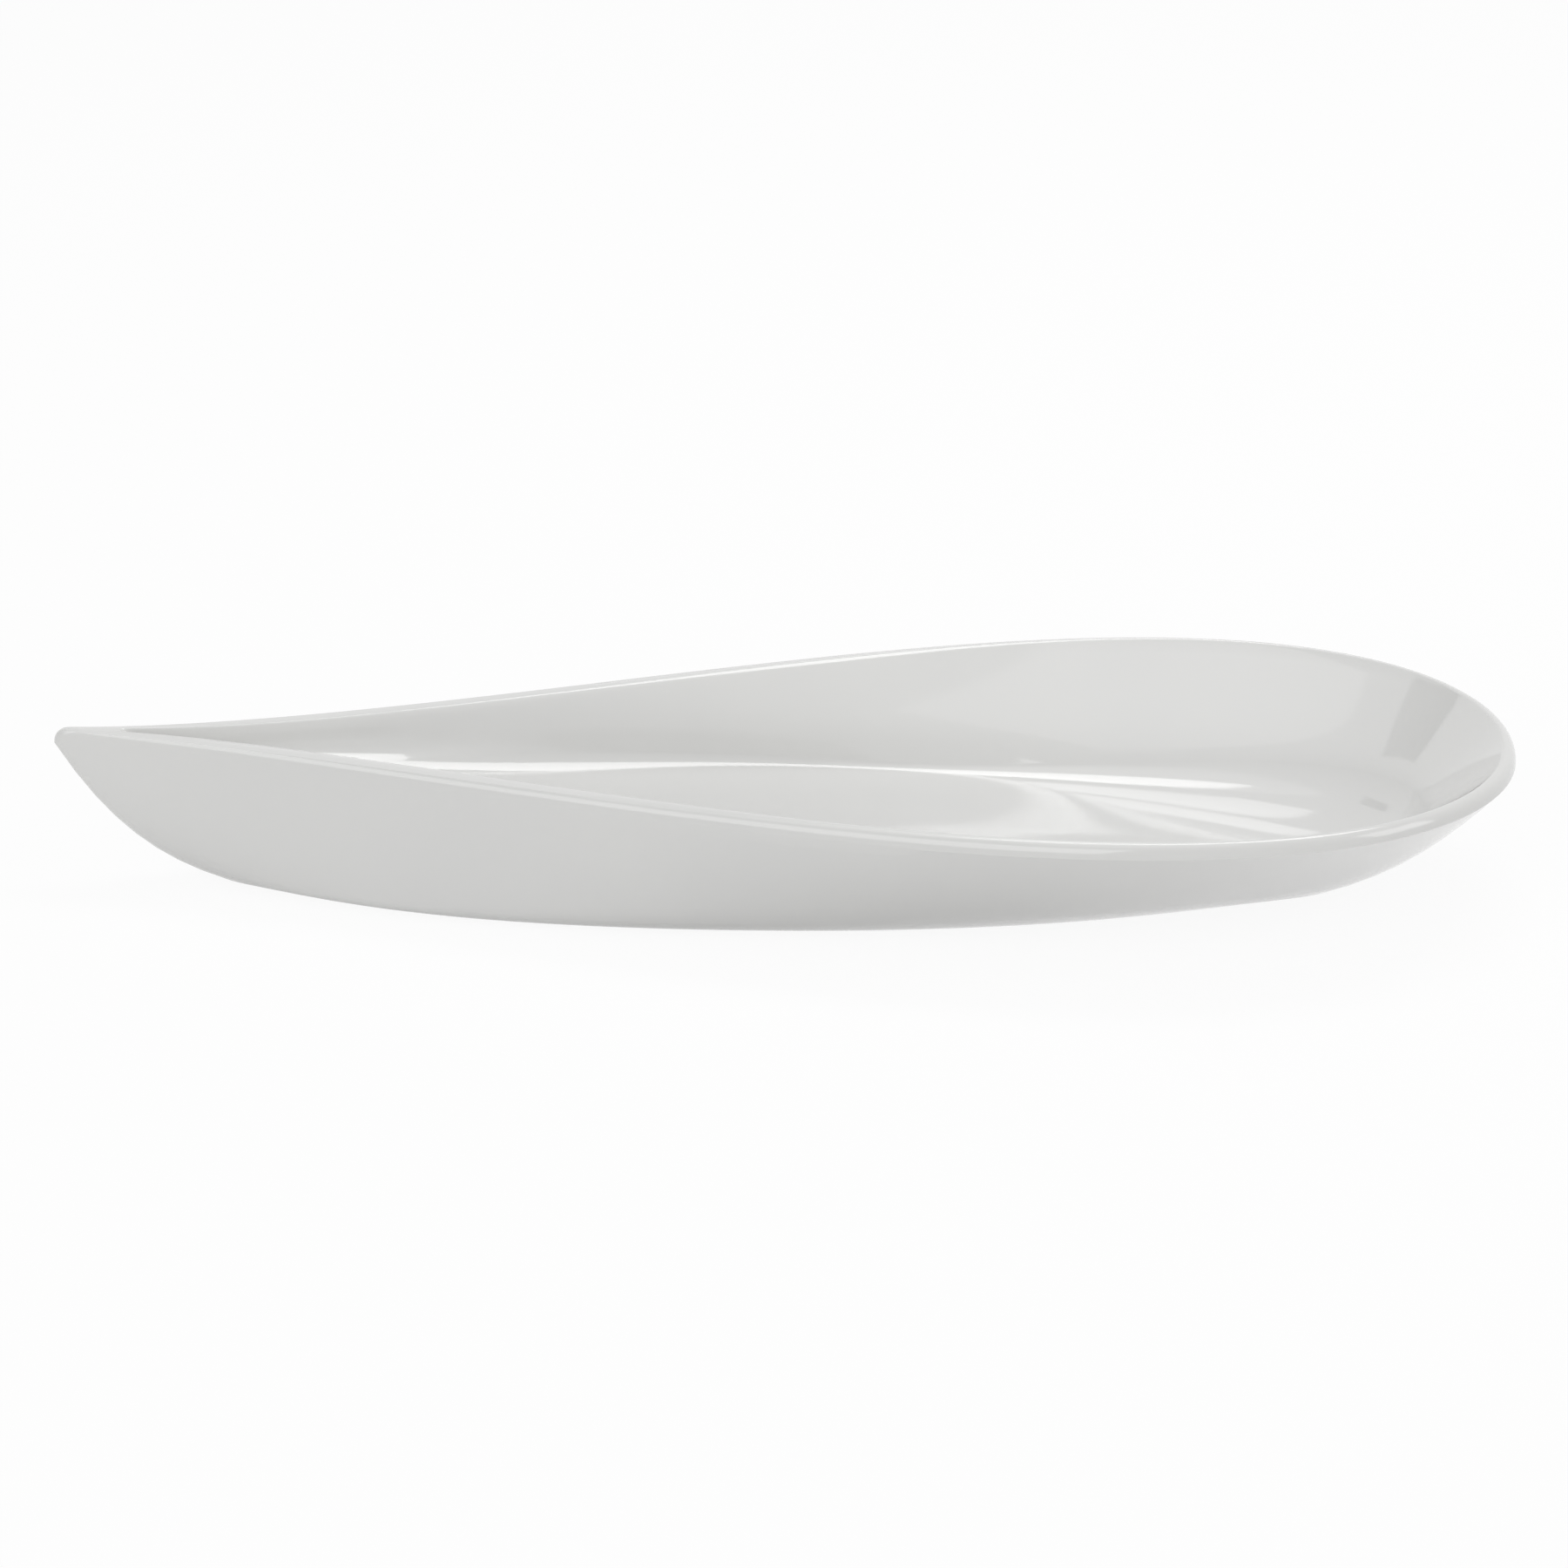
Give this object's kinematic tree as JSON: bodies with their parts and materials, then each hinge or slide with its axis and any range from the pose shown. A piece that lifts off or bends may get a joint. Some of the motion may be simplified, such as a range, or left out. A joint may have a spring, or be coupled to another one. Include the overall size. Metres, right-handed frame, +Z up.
{
  "type": "serving platter",
  "caption": "Deep white porcelain serving platter with a teardrop outline drawn to a point at one end, flared glazed walls, a coved oval floor that climbs towards the point and a low bare foot ring.",
  "frame": {"origin": "on the table under the middle of the length and width", "axes": "+X along the length to the round end, -X to the pointed tip, +Y across the width, +Z up out of the well"},
  "size_m": [0.406, 0.1928, 0.0435],
  "materials": {
    "porcelain": "bare fired porcelain, matt, seen on the foot ring",
    "glaze": "white gloss glaze"
  },
  "bodies": {
    "root": {"porcelain_body": "porcelain", "outer_glaze": "glaze", "underside_glaze": "glaze"}
  },
  "joints": []
}
